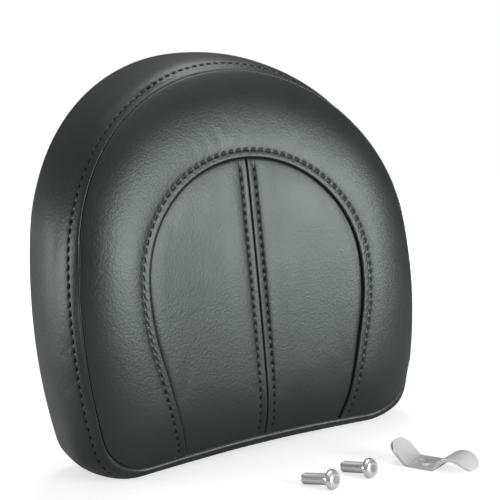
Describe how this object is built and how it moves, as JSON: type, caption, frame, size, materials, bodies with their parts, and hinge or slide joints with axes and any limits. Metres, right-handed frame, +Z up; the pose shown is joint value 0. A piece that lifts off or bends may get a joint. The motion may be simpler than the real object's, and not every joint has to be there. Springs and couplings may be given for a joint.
{
  "type": "motorcycle backrest pad",
  "caption": "Padded backrest with an arched sewn face, bowed moulded back with threaded inserts, and its loose screws and bar clip.",
  "frame": {"origin": "centre of the flat land on the back of the pad, midway between its two threaded inserts", "axes": "+Y points out of the back along the screws, +Z is up the pad, +X is to the right seen from the front"},
  "size_m": [0.2528, 0.1933, 0.2564],
  "materials": {
    "cover_vinyl": "black grained upholstery vinyl, soft sheen",
    "foam": "moulded open-cell cushion foam",
    "pan_plastic": "moulded black plastic, matte",
    "cover_plastic": "moulded black plastic, fine texture",
    "clip_plastic": "smooth black nylon",
    "zinc_steel": "bright zinc plated steel",
    "screw_chrome": "bright plated",
    "clip_steel": "bright plated, slightly satin"
  },
  "bodies": {
    "root": {"side_band": "cover_vinyl", "outer_panel": "cover_vinyl", "inner_left_panel": "cover_vinyl", "inner_right_panel": "cover_vinyl", "foam_core": "foam", "base_pan": "pan_plastic", "upper_insert": "zinc_steel", "lower_insert": "zinc_steel", "staples": "zinc_steel", "back_cover": "cover_plastic", "cover_clips": "clip_plastic", "mounting_screws": "screw_chrome", "bar_clip": "clip_steel"}
  },
  "joints": []
}
